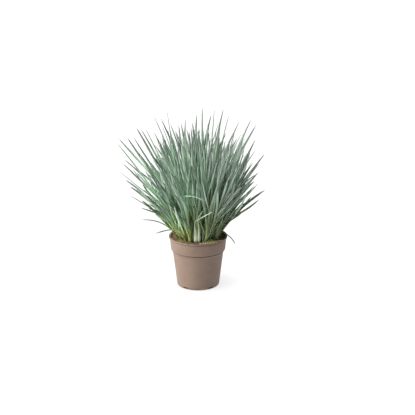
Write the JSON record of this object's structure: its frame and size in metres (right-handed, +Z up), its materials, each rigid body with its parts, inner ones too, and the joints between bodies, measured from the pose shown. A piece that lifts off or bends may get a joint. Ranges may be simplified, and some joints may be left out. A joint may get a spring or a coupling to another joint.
{
  "type": "potted ornamental grass",
  "caption": "Upright clump of narrow blue-green grass blades, growing from soil in a round taupe plastic nursery pot with a banded rim.",
  "frame": {"origin": "on the floor, in the middle of the underside of the pot", "axes": "+Z up through the pot and the clump; -Y towards the viewer, +X to the viewer's right"},
  "size_m": [0.305, 0.2958, 0.3696],
  "materials": {
    "pot_plastic": "satin",
    "peat": "matte",
    "grass": "satin"
  },
  "bodies": {
    "root": {"pot": "pot_plastic", "soil": "peat", "tiller_01": "grass", "tiller_02": "grass", "tiller_03": "grass", "tiller_04": "grass", "tiller_05": "grass", "tiller_06": "grass", "tiller_07": "grass", "tiller_08": "grass", "tiller_09": "grass", "tiller_10": "grass", "tiller_11": "grass", "tiller_12": "grass", "tiller_13": "grass", "tiller_14": "grass", "tiller_15": "grass", "tiller_16": "grass", "tiller_17": "grass", "tiller_18": "grass", "tiller_19": "grass", "tiller_20": "grass", "tiller_21": "grass", "tiller_22": "grass", "tiller_23": "grass", "tiller_24": "grass", "tiller_25": "grass", "tiller_26": "grass", "tiller_27": "grass", "tiller_28": "grass", "tiller_29": "grass", "tiller_30": "grass", "tiller_31": "grass", "tiller_32": "grass", "tiller_33": "grass", "tiller_34": "grass", "tiller_35": "grass", "tiller_36": "grass", "tiller_37": "grass", "tiller_38": "grass", "tiller_39": "grass", "tiller_40": "grass", "tiller_41": "grass", "tiller_42": "grass", "tiller_43": "grass", "tiller_44": "grass", "tiller_45": "grass", "tiller_46": "grass", "tiller_47": "grass", "tiller_48": "grass"}
  },
  "joints": []
}
